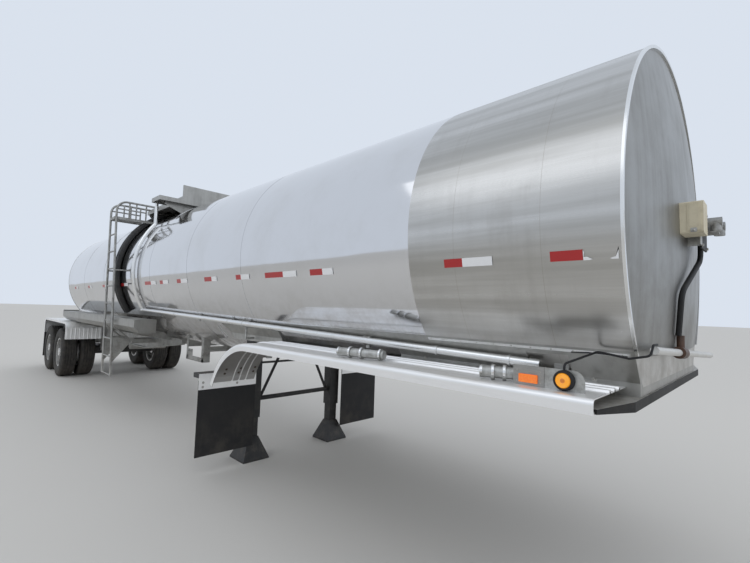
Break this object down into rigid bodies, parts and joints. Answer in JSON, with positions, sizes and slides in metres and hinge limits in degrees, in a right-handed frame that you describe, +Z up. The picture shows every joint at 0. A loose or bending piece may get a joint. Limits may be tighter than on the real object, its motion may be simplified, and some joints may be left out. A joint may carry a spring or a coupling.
{
  "type": "tank semi-trailer",
  "caption": "Insulated tank semi-trailer with a round polished jacket, full-length front fenders, landing legs and a twin-tyred tandem.",
  "frame": {"origin": "on the ground under the centre of the overall box", "axes": "+X towards the kingpin end, +Y to the left-hand side, +Z up"},
  "size_m": [13.08, 2.44, 3.435],
  "materials": {
    "brushed_jacket": "brushed lengthwise, dull sheen",
    "mirror_jacket": "mirror polished",
    "dull_head": "dull, softly wavy sheet",
    "bright_trim": "bright, scuffed",
    "dull_sheet": "weathered mill finish",
    "fender_aluminium": "bright mill finish, dusty",
    "black_steel": "black paint, dusty and chipped",
    "worn_steel": "bare steel with light rust",
    "grey_frame": "grey, weathered",
    "wheel_metal": "bright disc, dusty",
    "tyre": "black rubber, dusty",
    "black_rubber": "matt sheet rubber",
    "hose_rubber": "smooth hose rubber",
    "amber_lamp": "clear amber lens",
    "red_lamp": "red lens",
    "beige_box": "sun-bleached beige"
  },
  "bodies": {
    "trailer": {"tank_front_jacket": "brushed_jacket", "tank_main_jacket": "mirror_jacket", "front_head": "dull_head", "rear_head": "dull_head", "trim_rings": "bright_trim", "front_bolster": "dull_sheet", "coupler_plate": "black_steel", "kingpin": "worn_steel", "front_fenders": "fender_aluminium", "fender_brackets": "fender_aluminium", "flap_hangers": "fender_aluminium", "front_mud_flaps": "black_rubber", "marker_plates": "bright_trim", "marker_lamps": "amber_lamp", "hose_stubs": "worn_steel", "side_pipe": "bright_trim", "drain_hoses": "hose_rubber", "ladder": "grey_frame", "side_platform": "grey_frame", "top_strip": "dull_sheet", "spill_box": "dull_sheet", "manway_collar": "worn_steel", "hose_carrier": "dull_sheet", "subframe": "grey_frame", "leaf_springs": "black_steel", "axles": "black_steel", "rear_fenders": "bright_trim", "rear_mud_flaps": "black_rubber", "rear_bumper": "grey_frame", "tail_lamps": "red_lamp", "discharge_pipe": "worn_steel", "landing_legs": "black_steel", "landing_brace": "black_steel", "paper_box": "beige_box", "coupling_bracket": "black_steel"},
    "wheels_front_right_end": {"tyres_front_right": "tyre", "wheels_front_right": "wheel_metal"},
    "wheels_front_left_end": {"tyres_front_left": "tyre", "wheels_front_left": "wheel_metal"},
    "wheels_rear_right_end": {"tyres_rear_right": "tyre", "wheels_rear_right": "wheel_metal"},
    "wheels_rear_left_end": {"tyres_rear_left": "tyre", "wheels_rear_left": "wheel_metal"},
    "lid": {"manway_lid": "worn_steel"},
    "door": {"carrier_door": "dull_sheet"}
  },
  "joints": [
    {"name": "roll_front_right", "type": "hinge", "parent": "trailer", "child": "wheels_front_right_end", "pos_m": [-4.5, -0.915, 0.51], "axis": [0, 1, 0], "continuous": true},
    {"name": "roll_front_left", "type": "hinge", "parent": "trailer", "child": "wheels_front_left_end", "pos_m": [-4.5, 0.915, 0.51], "axis": [0, 1, 0], "continuous": true},
    {"name": "roll_rear_right", "type": "hinge", "parent": "trailer", "child": "wheels_rear_right_end", "pos_m": [-5.745, -0.915, 0.51], "axis": [0, 1, 0], "continuous": true},
    {"name": "roll_rear_left", "type": "hinge", "parent": "trailer", "child": "wheels_rear_left_end", "pos_m": [-5.745, 0.915, 0.51], "axis": [0, 1, 0], "continuous": true},
    {"name": "lid_open", "type": "hinge", "parent": "trailer", "child": "lid", "pos_m": [-0.78, 0, 3.342], "axis": [0, -1, 0], "range_deg": [0, 110]},
    {"name": "door_open", "type": "hinge", "parent": "trailer", "child": "door", "pos_m": [-4.759, -0.9834, 1.411], "axis": [0, 1, 0], "range_deg": [0, 110]}
  ]
}
